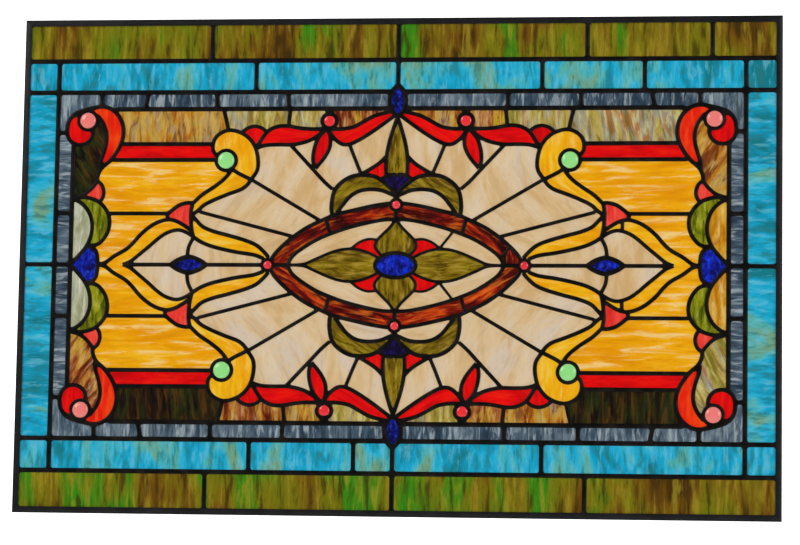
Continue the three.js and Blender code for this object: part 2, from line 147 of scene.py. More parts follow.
curves = [
    # Corner scroll and its hook.
    (4.2, [(335.6, 134.5), (334.6, 144), (329, 152), (320.5, 156), (310.5, 158.6), (301.5, 160.2),
           (292.5, 158.5), (284.5, 152.5), (279.5, 144), (277.8, 134.5), (279, 125), (283.5, 115),
           (291, 105), (299.3, 97.5), (303, 90), (303.4, 84)]),
    (4.0, [(335.6, 134.5), (333.8, 127.8), (329, 123), (322.3, 121.2), (315.6, 123), (310.8, 127.8),
           (309, 134.5), (310, 138.5)]),
    (4.0, [(305.5, 152), (299, 143.5), (295.3, 134), (295, 124), (297.6, 113), (300.6, 104),
           (301.2, 97)]),
    (3.8, [(303.4, 84), (308.5, 77.5), (316.5, 71), (328.7, 67)]),
    (3.8, [(303.4, 85), (298.6, 80.5), (296.4, 74), (297.2, 68), (300, 63.5)]),
    # Side crescent and the blue heart.
    (4.0, [(328.7, 67.5), (317.5, 68), (309.5, 66.8), (302, 63.8), (295.5, 58), (291, 50.5),
           (289.6, 42), (291.5, 32.5), (296.5, 24.5), (302.5, 20), (312, 18.8)]),
    (4.0, [(328.7, 66.5), (320.5, 63), (313.5, 56.5), (309, 48), (307.4, 38), (308.7, 28),
           (312.5, 19), (319, 10.5), (328.7, 0)]),
    (4.0, [(312, 18.8), (304.5, 15.5), (301.5, 10), (300.6, 0)]),
    # Spear, the red leaf above it and the two ribbons of the gold scroll.
    (4.0, [(300.6, 0), (293, 2), (284, 8.5), (272, 15.5), (264.5, 22.5), (258, 30), (250, 37),
           (241, 42.5), (230.5, 45.5), (222, 44), (213.5, 39.5), (204.5, 33)]),
    (3.8, [(275, 0), (267, 3.5), (257, 11.5), (248, 19), (240, 26), (231, 32), (220.5, 35),
           (212, 33), (204.5, 28.5)]),
    (4.0, [(231, 50.5), (225.5, 55.5), (218, 60.5), (209.5, 62.5), (205, 62)]),
    (4.0, [(205, 62.5), (206.8, 54), (206.6, 44), (205.6, 35), (203.6, 27)]),
    (4.0, [(205, 62), (196, 70.5), (184, 78.5), (174.5, 86), (168.5, 93), (166.5, 99)]),
    (4.0, [(206.3, 50), (200, 54.5), (194, 60), (184, 65.2), (170, 71), (157, 75.8), (150.5, 80.5),
           (146.5, 86)]),
    (4.0, [(206, 50), (200, 43.5), (194, 38), (183, 33.5), (168, 29.5), (151, 24.5), (139.5, 19.5),
           (131, 12), (127, 7)]),
    (4.0, [(203.8, 28), (197, 23.5), (187, 19.2), (173, 15.5), (158, 12.5), (142, 10), (131.5, 6)]),
    # Head of the gold scroll and the red leaves.
    (4.0, [(180.5, 108.5), (185.6, 115), (185.5, 124), (181, 131), (172, 135.6), (162, 134.8),
           (151.5, 129.5), (143.5, 119.5), (140, 106), (140.8, 95), (147, 85.5)]),
    (3.8, [(157.5, 133), (151, 138), (143, 139.8), (136, 137.5), (131, 133)]),
    (4.0, [(142.5, 117.5), (138.5, 124), (131.5, 134), (122, 139.2), (111, 140), (98, 137.8),
           (84, 136.8), (71, 137.5)]),
    (4.0, [(142.5, 117.5), (132, 120.6), (119, 121.2), (105, 121.2), (91, 124.3), (81, 129.5),
           (73, 136.5)]),
    (4.0, [(72, 136.5), (79.5, 127.5), (83.5, 116), (84.3, 105), (82, 97)]),
    (4.0, [(70, 136.5), (67.4, 128), (68, 118), (73, 108), (82, 97)]),
    (4.0, [(68, 137), (56, 136.8), (44, 139), (34, 144.3), (23, 150), (10, 153.5), (4, 154.5)]),
    (4.0, [(68.5, 134.5), (63.5, 127.5), (56, 121.8), (48, 121.5), (38, 126), (26, 133.5),
           (14, 142), (2, 151)]),
    # Top marquise, teardrop, small triangle, heart and crescent.
    (4.6, [(0, 181.5), (5.5, 175), (8.2, 165), (5.5, 155), (0, 148.5)]),
    (4.0, [(0, 148.5), (3.4, 139), (8, 123), (10.6, 108), (10.9, 97), (10.2, 89)]),
    (4.0, [(36, 91), (28, 95.5), (18, 102), (10.5, 109.5)]),
    (4.0, [(0, 91), (9, 90), (15, 86.5)]),
    (4.2, [(64.5, 51), (64.8, 62), (62, 75), (54, 84), (43, 89.5), (31, 90.3), (20, 88), (9, 80),
           (0, 71.5)]),
    (4.0, [(60, 52), (53.5, 60.5), (47, 68.3), (38, 74), (27, 76), (15, 75), (6, 71.5), (0, 69)]),
    # Ring of the eye and its olive petals.
    (4.0, [(124.5, 5.5), (120, 12.5), (107, 25), (91, 36.5), (75, 44.5), (62, 50), (45, 54.5),
           (25, 59), (10, 61.5), (5, 61.9)]),
    (3.8, [(108.5, 0), (103, 9), (93, 17), (79, 25.5), (63, 32.3), (46, 38), (28, 42.5), (13, 45.3),
           (0, 46)]),
    (3.0, [(108, 0), (92, 1), (80, 6), (64, 12.8), (51, 16), (38, 15.7), (26, 12), (16.5, 7.2)]),
    (3.0, [(0, 46), (6, 38), (14, 30), (19.6, 23.5), (20, 17), (13.5, 9.2)]),
    (2.6, [(44, 17), (37, 22.5), (28, 26), (18.8, 25.5)]),
    # Blue marquise of the spade.
    (4.6, [(226.3, 0), (219, 4.8), (208.3, 8), (197.6, 4.8), (190.3, 0)]),
    # Joints of the tan glass, the scroll's neck, the cream fan, the ring and the spade.
    (4.0, [(176, 157.4), (173.2, 147), (171, 137)]),
    (4.0, [(166, 96.5), (160, 92.5), (147, 86)]),
    (3.8, [(107, 120.5), (86, 98), (73, 84), (64, 76)]),
    (3.6, [(48, 121.5), (41, 104), (35, 90)]),
    (3.8, [(204, 27), (208.3, 18), (209.6, 8)]),
]
straights = [
    (4.2, (279.5, 122), (187.5, 121.8)),
    (4.2, (288.5, 105.8), (180, 105.8)),
    (4.0, (290.5, 51.6), (231, 51.6)),
    (4.0, (231, 52), (230.5, 45)),
    (4.0, (0, 46), (0, 55.5)),
    (4.0, (122.5, 0), (108.5, 0)),
    (4.0, (108, GRAY_ROW), (109.8, 140)),
    (3.6, (146.5, 86), (76, 44.5)),
    (3.6, (198.5, 53.4), (101, 28)),
    (3.8, (70, 46), (66, 32)),
    (4.0, (275, 0), (226.3, 0)),
    (4.0, (190.3, 0), (133.5, 0)),
    (9.0, (68.5, 149), (68.5, GRAY_ROW)),
    # Border: rows, columns and the joints in them.
    (4.7, (0, OLIVE_ROW), (OPENING[0], OLIVE_ROW)),
    (4.7, (6, TURQUOISE_ROW), (OPENING[0], TURQUOISE_ROW)),
    (4.6, (7, GRAY_ROW), (287, GRAY_ROW)),
    (4.7, (TURQUOISE_COLUMN, 0), (TURQUOISE_COLUMN, OLIVE_ROW)),
    (4.6, (GRAY_COLUMN, 0), (GRAY_COLUMN, 122)),
    (4.4, (TURQUOISE_COLUMN, 0), (OPENING[0], 0)),
    (4.4, (GRAY_COLUMN, 0), (TURQUOISE_COLUMN, 0)),
    (4.4, (GRAY_COLUMN, 51.8), (TURQUOISE_COLUMN, 51.8)),
    (4.4, (334, 133.5), (TURQUOISE_COLUMN, 133.5)),
    (4.6, (0, 180), (0, OPENING[1])),
    (4.4, (110.5, TURQUOISE_ROW), (109.7, GRAY_ROW)),
    (4.4, (182.7, TURQUOISE_ROW), (182.7, GRAY_ROW)),
    (4.4, (252.5, TURQUOISE_ROW), (256, GRAY_ROW)),
    (4.4, (300.3, TURQUOISE_ROW), (300.3, 160.5)),
]
# Round and oval lines: middle, half width, half height, width of the line.
rings = {
    "pink_jewel": (314.4, 146, 9.6, 9.6, 3.6),
    "green_jewel": (172.3, 105.3, 10.1, 10.1, 3.8),
    "red_ball": (68.5, 145, 7.3, 7.3, 4.0),
    "side_ball": (128.3, 0, 5.6, 5.6, 3.4),
    "end_ball": (0, 60.5, 5.6, 5.6, 3.4),
    "blue_oval": (0, 0, 20.3, 12.3, 4.0),
}
# Joints that the panel has once only, as it is put together from what glass is at hand.
single_joints = [
    *[(4.4, (x, OLIVE_ROW), (x, OPENING[1])) for x in (-188.5, 188.5, 312)],
    *[(4.4, (x, -OLIVE_ROW), (x, -OPENING[1])) for x in (-187, 189.5)],
    *[(4.4, (x, TURQUOISE_ROW), (x, OLIVE_ROW)) for x in (-143.3, 144, 245.5)],
    *[(4.4, (x, -TURQUOISE_ROW), (x, -OLIVE_ROW)) for x in (-143.3, -38.8, 147)],
    (3.2, (104, 6), (114, 19)),
    (3.6, (224.5, 44), (224.5, 34)),
    (3.6, (224.5, -44), (224.5, -34)),
    (2.6, (44, 17), (57.5, 34)),
    (2.6, (44, -17), (57.5, -34)),
]
QUARTERS = {"top_left": (-1, 1), "top_right": (1, 1), "bottom_left": (-1, -1), "bottom_right": (1, -1)}
POINT_STEP = 2.5


def through(points):
    """A smooth curve through the points, a point every few millimetres."""
    ends = [points[0], *points, points[-1]]
    curve = []
    for a, b, c, d in zip(ends, ends[1:], ends[2:], ends[3:]):
        a, b, c, d = map(np.array, (a, b, c, d))
        steps = max(2, math.ceil(np.linalg.norm(c - b) / POINT_STEP))
        for k in range(steps):
            t = k / steps
            bend = (2 * a - 5 * b + 4 * c - d) * t + (3 * b - a - 3 * c + d) * t * t
            curve.append((2 * b + (c - a) * t + bend * t) / 2)
    return np.array([*curve, points[-1]])


def oval(x, y, half_width, half_height):
    """Points round an oval, from a point and back to it."""
    turns = np.linspace(0.05, 0.05 + 2 * np.pi, 41)
    return np.column_stack([x + half_width * np.cos(turns), y + half_height * np.sin(turns)])


def stroke(points, width):
    """The left and right edges of a line, with mitred bends."""
    along = np.diff(points, axis=0)
    along /= np.linalg.norm(along, axis=1)[:, None]
    before, after = np.vstack([along[:1], along]), np.vstack([along, along[-1:]])
    if np.allclose(points[0], points[-1]):
        before[0], after[-1] = along[-1], along[0]
    bend = before + after
    bend /= np.linalg.norm(bend, axis=1)[:, None]
    reach = width / 2 / (bend * after).sum(axis=1)
    side = np.column_stack([-bend[:, 1], bend[:, 0]]) * reach[:, None]
    return points + side, points - side


lines, ring_lines = {}, {}
for mirror_x, mirror_y in QUARTERS.values():
    mirror = np.array([mirror_x, mirror_y])
    for number, (width, points) in enumerate(curves):
        lines[number, mirror_x, mirror_y] = (width, through(points) * mirror)
    for width, start, end in straights:
        ends = np.array([start, end], float) * mirror + 0.0
        lines[tuple(ends.ravel())] = (width, ends)
    for name, (x, y, half_width, half_height, width) in rings.items():
        middle = (x * mirror_x + 0.0, y * mirror_y + 0.0)
        ring_lines[middle] = (width, oval(*middle, half_width, half_height))
for width, start, end in single_joints:
    lines[start, end] = (width, np.array([start, end], float))
all_lines = [*lines.values(), *ring_lines.values()]


def opening_outline():
    return [Vector((x * OPENING[0], y * OPENING[1])) for x, y in ((-1, -1), (1, -1), (1, 1), (-1, 1))]


def region_loops(triangles):
    """The closed edges of a patch of triangles, each as a list of point numbers."""
    following = {}
    edges = {(a, b) for t in triangles for a, b in zip(t, (t[1], t[2], t[0]))}
    for a, b in edges:
        if (b, a) not in edges:
            following.setdefault(a, []).append(b)
    loops = []
    while following:
        start = next(iter(following))
        loop, at = [], start
        while True:
            loop.append(at)
            onward = following[at].pop()
            if not following[at]:
                del following[at]
            at = onward
            if at == start:
                break
        loops.append(loop)
    return loops


def area(outline):
    x, y = outline[:, 0], outline[:, 1]
    return (x @ np.roll(y, -1) - y @ np.roll(x, -1)) / 2


def cells_between(all_lines):
    """The outlines of the openings between the lines, which the glasses fill."""
    points, faces = opening_outline(), [[0, 1, 2, 3]]
    for width, middle in all_lines:
        left, right = stroke(middle, width)
        first = len(points)
        points += [Vector(p) for pair in zip(left, right) for p in pair]
        for k in range(first, first + 2 * len(middle) - 2, 2):
            faces.append([k, k + 1, k + 3, k + 2])
    found = delaunay_2d_cdt(points, [], faces, 0, 1e-5, True)
    places, sources = np.array(found[0]), found[5]
    open_triangles = [t for t, source in zip(found[2], sources) if source == [0]]
    by_edge, parent = {}, list(range(len(open_triangles)))

    def root(k):
        while parent[k] != k:
            parent[k] = parent[parent[k]]
            k = parent[k]
        return k

    for k, t in enumerate(open_triangles):
        for edge in zip(t, (t[1], t[2], t[0])):
            key = tuple(sorted(edge))
            if key in by_edge:
                parent[root(k)] = root(by_edge[key])
            by_edge[key] = k
    patches = {}
    for k, t in enumerate(open_triangles):
        patches.setdefault(root(k), []).append(t)
    outlines = []
    for patch in patches.values():
        loops = [places[loop] for loop in region_loops(patch)]
        outlines.append(max(loops, key=lambda loop: abs(area(loop))))
    return outlines


def rounded(outline, radius):
    """A cell's outline, anticlockwise, evened out and with its sharp corners rounded."""
    if area(outline) < 0:
        outline = outline[::-1]
    gaps = np.linalg.norm(np.roll(outline, -1, axis=0) - outline, axis=1)
    outline = outline[gaps > 0.25]
    ahead = np.roll(outline, -1, axis=0) - outline
    steps = np.linalg.norm(ahead, axis=1)
    behind = np.roll(ahead, 1, axis=0)
    cross = behind[:, 0] * ahead[:, 1] - behind[:, 1] * ahead[:, 0]
    turn = np.arctan2(cross, (behind * ahead).sum(axis=1))
    straight = np.abs(turn) < 0.004
    if straight.any():
        return rounded(outline[~straight], radius)
    corners = np.flatnonzero(turn > 0.6)
    if not len(corners):
        return outline
    outline = np.roll(outline, -corners[0], axis=0)
    steps, turn = np.roll(steps, -corners[0]), np.roll(turn, -corners[0])
    corners = corners - corners[0]
    length = steps.sum()
    at = np.concatenate([[0], np.cumsum(steps)])
    looped = np.vstack([outline, outline[:1]])

    def place(s):
        s = s % length
        return np.array([np.interp(s, at, looped[:, 0]), np.interp(s, at, looped[:, 1])])

    ends = np.append(at[corners], length)
    cut = np.minimum(radius * np.tan(turn[corners] / 2), 3 * radius)
    room = np.diff(ends)
    before = np.minimum(cut, 0.4 * np.roll(room, 1))
    after = np.minimum(cut, 0.4 * room)
    made = []
    for k, corner in enumerate(corners):
        start, tip, end = place(at[corner] - before[k]), outline[corner], place(at[corner] + after[k])
        for t in np.linspace(0, 1, 5):
            made.append((1 - t) ** 2 * start + 2 * t * (1 - t) * tip + t * t * end)
        low, high = at[corner] + after[k] + 0.2, ends[k + 1] - before[(k + 1) % len(corners)] - 0.2
        made += [p for p, s in zip(outline, at) if low < s < high]
    return np.array(made)


def moved_out(outline, distance):
    """An anticlockwise outline, widened all round by a distance."""
    ahead = np.roll(outline, -1, axis=0) - outline
    ahead /= np.linalg.norm(ahead, axis=1)[:, None]
    bend = ahead + np.roll(ahead, 1, axis=0)
    bend /= np.linalg.norm(bend, axis=1)[:, None]
    reach = distance / np.maximum((bend * ahead).sum(axis=1), 0.6)
    return outline + np.column_stack([bend[:, 1], -bend[:, 0]]) * reach[:, None]


def is_inside(outline, point):
    x, y = point
    nearer, farther = outline, np.roll(outline, -1, axis=0)
    spans = (nearer[:, 1] > y) != (farther[:, 1] > y)
    a, b = nearer[spans], farther[spans]
    return (x < a[:, 0] + (b[:, 0] - a[:, 0]) * (y - a[:, 1]) / (b[:, 1] - a[:, 1])).sum() % 2 == 1


SMALLEST_GLASS = 6
BORDER_CORNER = 2.6
PATTERN_CORNER = 1.1
cells = []
for outline in cells_between(all_lines):
    if abs(area(outline)) > SMALLEST_GLASS:
        in_border = np.abs(outline).max(axis=0) > (GRAY_COLUMN, GRAY_ROW)
        cells.append(rounded(outline, BORDER_CORNER if in_border.any() else PATTERN_CORNER))


# ---- Lead net ----------------------------------------------------------------------------------
# Copper foil joints soldered on both faces to one net. A bead of solder stands over each joint and
# spreads a little where joints meet; it is highest along the middle of the line.
MIDDLE = 249
FOIL_EDGE = 1.65
BEAD_TOP = 2.7
BEAD_REACH = 2.1
RINGS_OF_BEAD = (0.45, 1.15)


def solder_net():
    points, faces, edges = opening_outline(), [[0, 1, 2, 3]], []
    rims = []
    for cell in cells:
        faces.append(list(range(len(points), len(points) + len(cell))))
        points += [Vector(p) for p in cell]
        for distance in RINGS_OF_BEAD:
            rim = moved_out(cell, distance)
            first = len(points)
            points += [Vector(p) for p in rim]
            edges += [(first + k, first + (k + 1) % len(rim)) for k in range(len(rim))]
        inner = (np.abs(cell) < np.array(OPENING) - 0.01).all(axis=1)
        ahead = np.roll(cell, -1, axis=0)
        for a, b, a_in, b_in in zip(cell, ahead, inner, np.roll(inner, -1)):
            if a_in or b_in:
                count = max(1, math.ceil(np.linalg.norm(b - a) / 0.5))
                rims += [a + (b - a) * k / count for k in range(count)]
    for width, middle in all_lines:
        first = len(points)
        points += [Vector(p) for p in middle]
        edges += [(k, k + 1) for k in range(first, first + len(middle) - 1)]
    found = delaunay_2d_cdt(points, edges, faces, 0, 1e-5, True)
    solder = [t for t, source in zip(found[2], found[5]) if source == [0]]
    used = sorted({k for t in solder for k in t})
    number = {k: n for n, k in enumerate(used)}
    flat = np.array(found[0])[used]
    solder = np.array([[number[k] for k in t] for t in solder])
    edge_tree = kdtree.KDTree(len(rims))
    for k, p in enumerate(rims):
        edge_tree.insert((p[0], p[1], 0), k)
    edge_tree.balance()
    away = np.array([edge_tree.find((x, y, 0))[2] for x, y in flat])
    rise = np.sqrt(1 - (1 - np.clip(away / BEAD_REACH, 0, 1)) ** 2)
    wave = np.array([noise.noise((x / 9, y / 9, 0)) for x, y in flat])
    height = FOIL_EDGE + (BEAD_TOP - FOIL_EDGE) * rise * (1 + 0.12 * wave)
    front = np.column_stack([flat[:, 0], -height, flat[:, 1] + MIDDLE])
    behind = np.column_stack([flat[:, 0], height, flat[:, 1] + MIDDLE])
    count = len(flat)
    turned = solder[:, ::-1] + count
    sides = {(a, b) for t in solder for a, b in zip(t, (t[1], t[2], t[0]))}
    walls = [(b, a, a + count, b + count) for a, b in sides if (b, a) not in sides]
    return np.vstack([front, behind]) * MM, [*solder.tolist(), *turned.tolist(), *walls]


def linear(code):
    """An sRGB hex colour as linear red, green, blue and alpha."""
    values = [int(code[k:k + 2], 16) / 255 for k in (1, 3, 5)]
    return [v / 12.92 if v <= 0.04045 else ((v + 0.055) / 1.055) ** 2.4 for v in values] + [1.0]


def add(tree, kind, settings=(), **sockets):
    """Adds a node, sets it up, and feeds its sockets with numbers, colours or other sockets."""
    node = tree.nodes.new(kind)
    for name, value in dict(settings).items():
        setattr(node, name, value)
    for name, value in sockets.items():
        label = name.replace("_", " ")
        socket = next(s for s in node.inputs if s.name == label and s.enabled)
        if isinstance(value, bpy.types.NodeSocket):
            tree.links.new(value, socket)
        else:
            socket.default_value = value
    return node


def new_material(name):
    material = bpy.data.materials.new(name)
    material.use_nodes = True
    tree = material.node_tree
    shader = next(node for node in tree.nodes if node.type == "BSDF_PRINCIPLED")
    return material, tree, shader


def piece(name, points, faces, material, smooth_angle=None):
    """A mesh object that belongs to the panel."""
    mesh = bpy.data.meshes.new(name)
    mesh.from_pydata([tuple(p) for p in points], [], faces)
    mesh.validate()
    made = bpy.data.objects.new(name, mesh)
    bpy.context.collection.objects.link(made)
    mesh.materials.append(material)
    if smooth_angle:
        bpy.ops.object.select_all(action="DESELECT")
        made.select_set(True)
        bpy.context.view_layer.objects.active = made
        bpy.ops.object.shade_smooth_by_angle(angle=math.radians(smooth_angle))
    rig.ride(made, "root")
    return made


# Black patina on tin and lead solder: near black with a soft sheen, browner and greyer where it is
# rubbed, and a little uneven from the iron.
patina, tree, shader = new_material("black_patina_on_solder")
place = add(tree, "ShaderNodeTexCoord").outputs["Object"]
rubbed = add(tree, "ShaderNodeTexNoise", Vector=place, Scale=70, Detail=4, Roughness=0.6)
tints = add(tree, "ShaderNodeValToRGB", Fac=rubbed.outputs["Fac"])
tints.color_ramp.elements[0].position = 0.42
tints.color_ramp.elements[0].color = linear("#070605")
tints.color_ramp.elements[1].position = 0.72
tints.color_ramp.elements[1].color = linear("#231e1a")
tree.links.new(tints.outputs["Color"], shader.inputs["Base Color"])
uneven = add(tree, "ShaderNodeTexNoise", Vector=place, Scale=420, Detail=2)
bump = add(tree, "ShaderNodeBump", Strength=0.35, Distance=0.0004, Height=uneven.outputs["Fac"])
tree.links.new(bump.outputs["Normal"], shader.inputs["Normal"])
shader.inputs["Metallic"].default_value = 0.5
shader.inputs["Roughness"].default_value = 0.34
shader.inputs["Specular IOR Level"].default_value = 0.2

net = piece("solder_net", *solder_net(), patina, 40)
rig.replaces(net, "lead_net")
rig.slot(net, "black_patina_solder")


# ---- Coloured glass ----------------------------------------------------------------------------
# Sheet glass 3 mm thick, cut to the cells and held by its foiled edge. Most is opalescent: two or
# three colours of molten glass rolled out together, so the colours lie in streaks along the sheet.
GLASS_FACE = 1.5
UNDER_FOIL = 0.5
unused_cells = list(range(len(cells)))


def cut_glass(name, seed, glass, tone=0.0, drift=0.0, turn=0.0, nodes=(), slot=None):
    """Cuts the glass of the cell that holds the seed. Tone shifts its colour along the sheet's range
    and drift changes it over 100 mm to the right. Turn, in degrees, turns the streaks."""
    number = next((k for k in unused_cells if is_inside(cells[k], seed)), None)
    if number is None:
        print("NO CELL", name, seed)
        return
    unused_cells.remove(number)
    outline = moved_out(cells[number], UNDER_FOIL)
    count = len(outline)
    front = [(x, -GLASS_FACE, z + MIDDLE) for x, z in outline]
    behind = [(x, GLASS_FACE, z + MIDDLE) for x, z in outline]
    faces = [list(range(count)), list(range(2 * count - 1, count - 1, -1))]
    faces += [((k + 1) % count, k, k + count, (k + 1) % count + count) for k in range(count)]
    material, default_slot = glass
    made = piece(name, np.array(front + behind) * MM, faces, material)
    spot = np.random.default_rng(number + 7).uniform(-3, 3, 2)
    cos, sin = math.cos(math.radians(turn)), math.sin(math.radians(turn))
    middle = outline.mean(axis=0)
    sheet = made.data.attributes.new("sheet", "FLOAT_VECTOR", "POINT")
    values = [(x * cos + z * sin, z * cos - x * sin, (tone + drift * (x - middle[0]) / 100) / MM)
              for x, z in outline]
    values = np.array(values + values) * MM + [*spot, 0]
    sheet.data.foreach_set("vector", values.ravel())
    if nodes:
        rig.replaces(made, *nodes)
    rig.slot(made, slot or default_slot)
    return made


def opal_glass(name, hues, wisp, dark, wisps=0.5, darks=0.4, cloud=(0.045, 0.11), streak=(0.006, 0.04),
               swirl=0.6, roughness=0.16, ripple=0.12, grain=(0.0018, 0.008), grit=0.35):
    """Opalescent sheet glass: hues are its ground colours in order, wisp and dark the colours of its
    paler and darker streaks. Cloud and streak are sizes across and along the sheet, in metres."""
    material, tree, shader = new_material(name)
    sheet = add(tree, "ShaderNodeAttribute", {"attribute_name": "sheet"})
    parts = add(tree, "ShaderNodeSeparateXYZ", Vector=sheet.outputs["Vector"])
    patterns = []
    for (across, along), detail, bend in ((cloud, 3, swirl), (streak, 4, swirl * 0.6), (grain, 3, 0.2)):
        laid = add(tree, "ShaderNodeMapping", Vector=sheet.outputs["Vector"],
                   Scale=(1 / across, 1 / along, 0))
        patterns.append(add(tree, "ShaderNodeTexNoise", Vector=laid.outputs["Vector"], Scale=1,
                            Detail=detail, Roughness=0.6, Distortion=bend))
    clouds, streaks, grains = (p.outputs["Fac"] for p in patterns)
    toned = add(tree, "ShaderNodeMath", {"operation": "ADD"})
    tree.links.new(clouds, toned.inputs[0])
    tree.links.new(parts.outputs["Z"], toned.inputs[1])
    ramp = add(tree, "ShaderNodeValToRGB", Fac=toned.outputs["Value"])
    stops = ramp.color_ramp.elements
    stops[0].position, stops[1].position = 0.34, 0.66
    stops[0].color, stops[1].color = linear(hues[0]), linear(hues[-1])
    for k, hue in enumerate(hues[1:-1], 1):
        stops.new(0.34 + 0.32 * k / (len(hues) - 1)).color = linear(hue)
    ground = ramp.outputs["Color"]
    for low, high, amount, colour in ((0.50, 0.66, wisps, wisp), (0.50, 0.34, darks, dark),
                                     (0.46, 0.28, grit, dark)):
        source = grains if amount == grit else streaks
        share = add(tree, "ShaderNodeMapRange", {"interpolation_type": "SMOOTHSTEP"}, Value=source,
                    From_Min=low, From_Max=high, To_Min=0, To_Max=amount)
        mixed = add(tree, "ShaderNodeMix", {"data_type": "RGBA"}, Factor=share.outputs["Result"],
                    A=ground, B=linear(colour))
        ground = next(s for s in mixed.outputs if s.enabled)
    tree.links.new(ground, shader.inputs["Base Color"])
    bump = add(tree, "ShaderNodeBump", Strength=ripple, Distance=0.001, Height=streaks)
    tree.links.new(bump.outputs["Normal"], shader.inputs["Normal"])
    shader.inputs["Roughness"].default_value = roughness
    shader.inputs["IOR"].default_value = 1.52
    shader.inputs["Specular IOR Level"].default_value = 0.12
    return material


ENDS = {"top": 1, "bottom": -1}
SIDES = {"left": -1, "right": 1}


def numbered_row(name, glass, y, xs, tones, nodes, turn=0.0):
    """Cuts the glasses of a border row, from left to right."""
    for number, (x, tone) in enumerate(zip(xs, tones), 1):
        shift, drift = tone if isinstance(tone, tuple) else (tone, 0)
        cut_glass(f"{name}_{number}", (x, y), glass, shift, drift, turn, nodes)


# Olive rows: streaks stand upright, and run from dark brown over olive to leaf green.
olive = opal_glass("olive_opalescent_glass",
                   ["#4a3004", "#74500a", "#7a640c", "#7c740c", "#74780c", "#4c8410", "#3a8a10"],
                   "#a89426", "#3c2c04", 0.6, 0.8, cloud=(0.05, 0.16), streak=(0.007, 0.05)), "olive_opal_glass"
numbered_row("olive_glass_top", olive, 225, (-300, -90, 90, 250, 350),
             ((-0.02, 0.04), (-0.02, 0.05), (0.02, -0.06), (0.0, -0.08), -0.08), ["olive_band_top"])
numbered_row("olive_glass_bottom", olive, -225, (-300, -90, 90, 300),
             (0.02, 0.06, 0.05, -0.04), ["olive_band_bottom"])

# Turquoise rows, columns and corner squares, mottled with sea green.
turquoise = opal_glass("turquoise_opalescent_glass",
                       ["#0c8090", "#0c9cc0", "#12b0da", "#2cb8dc", "#58b8b4", "#78a888"],
                       "#74cce4", "#2c7a78", 0.5, 0.7, cloud=(0.04, 0.09), streak=(0.006, 0.025)), "turquoise_opal_glass"
numbered_row("turquoise_glass_top", turquoise, 190, (-250, -90, 90, 200, 300),
             (0.0, 0.04, 0.05, 0.06, 0.02), ["turquoise_band_top"])
numbered_row("turquoise_glass_bottom", turquoise, -190, (-250, -90, -20, 60, 250),
             (0.0, 0.02, 0.0, -0.02, 0.0), ["turquoise_band_bottom"])

# Gray rows and columns: a blue gray ground with pale wavy wisps.
gray = opal_glass("gray_wispy_glass", ["#2c3e4e", "#44586a", "#5c6e7c", "#7c8c96"],
                  "#b4c0c6", "#22303e", 0.7, 0.7, cloud=(0.03, 0.08), streak=(0.005, 0.03), swirl=1.4), "gray_wispy_glass"
for place, (side, end) in QUARTERS.items():
    edge = place.split("_")[1]
    corner_tone = -0.08 if end * side < 0 and end < 0 else -0.04
    cut_glass(f"turquoise_square_{place}", (360 * side, 190 * end), turquoise, corner_tone,
              nodes=[f"turquoise_band_{place.split('_')[0]}"])
    cut_glass(f"turquoise_column_glass_{place}", (360 * side, 80 * end), turquoise, -0.02, turn=90,
              nodes=[f"turquoise_column_{edge}"])
    nodes = [f"gray_border_{edge}"]
    for number, x in enumerate((60, 146, 220, 277), 1):
        cut_glass(f"gray_row_glass_{number}_{place}", (x * side, 166 * end), gray,
                  (0.03, -0.02, -0.06, -0.05)[number - 1] * (1 if end > 0 else -1), nodes=nodes)
    cut_glass(f"gray_corner_glass_{place}", (336 * side, 166 * end), gray, 0.06, nodes=nodes)
    cut_glass(f"gray_column_glass_upper_{place}", (337 * side, 90 * end), gray, 0.0, turn=90, nodes=nodes)
    cut_glass(f"gray_column_glass_lower_{place}", (337 * side, 25 * end), gray, -0.06, turn=90, nodes=nodes)

# Marbled glass under the gray rows: every quarter has another cut of it.
MARBLED = "amber_brown_opal_glass"
tan_marble = opal_glass("tan_amber_marbled_glass", ["#7a3a08", "#b86a10", "#c88a20", "#c4a048", "#b08a70"],
                        "#dcb868", "#70402c", 0.6, 0.8, cloud=(0.02, 0.07), streak=(0.006, 0.03), swirl=1.2), MARBLED
dark_marble = opal_glass("dark_brown_marbled_glass", ["#120602", "#241404", "#2c2206", "#26300c", "#180a04"],
                         "#5c3c10", "#0a0402", 0.7, 0.8, cloud=(0.02, 0.08), streak=(0.006, 0.04), swirl=1.0), MARBLED
pale_marble = opal_glass("pale_yellow_marbled_glass", ["#8a8430", "#b8a044", "#c0a860", "#a0a08c", "#b07848"],
                         "#e4dc98", "#7a6420", 0.6, 0.8, cloud=(0.02, 0.07), streak=(0.006, 0.03), swirl=1.2), MARBLED
rose_marble = opal_glass("brown_rose_marbled_glass", ["#5a1404", "#8c3c10", "#b06830", "#c08830", "#cca028"],
                         "#dcbc88", "#481404", 0.6, 0.8, cloud=(0.016, 0.05), streak=(0.005, 0.03), swirl=1.2), MARBLED
for place, glass, tone, turn in (("top_left", tan_marble, 0.0, 0), ("top_right", pale_marble, 0.06, 10),
                                 ("bottom_left", dark_marble, 0.0, 5), ("bottom_right", dark_marble, 0.02, 0)):
    side, end = QUARTERS[place]
    cut_glass(f"marbled_glass_{place}", (230 * side, 140 * end), glass, tone, turn=turn,
              nodes=[f"marbled_panel_{place}"])
inner_marbles = {
    "top_left": (pale_marble, pale_marble, rose_marble),
    "top_right": (pale_marble, rose_marble, tan_marble),
    "bottom_left": (rose_marble, tan_marble, pale_marble),
    "bottom_right": (tan_marble, rose_marble, pale_marble),
}
corner_marbles = {"top_left": dark_marble, "top_right": tan_marble, "bottom_left": rose_marble,
                  "bottom_right": pale_marble}
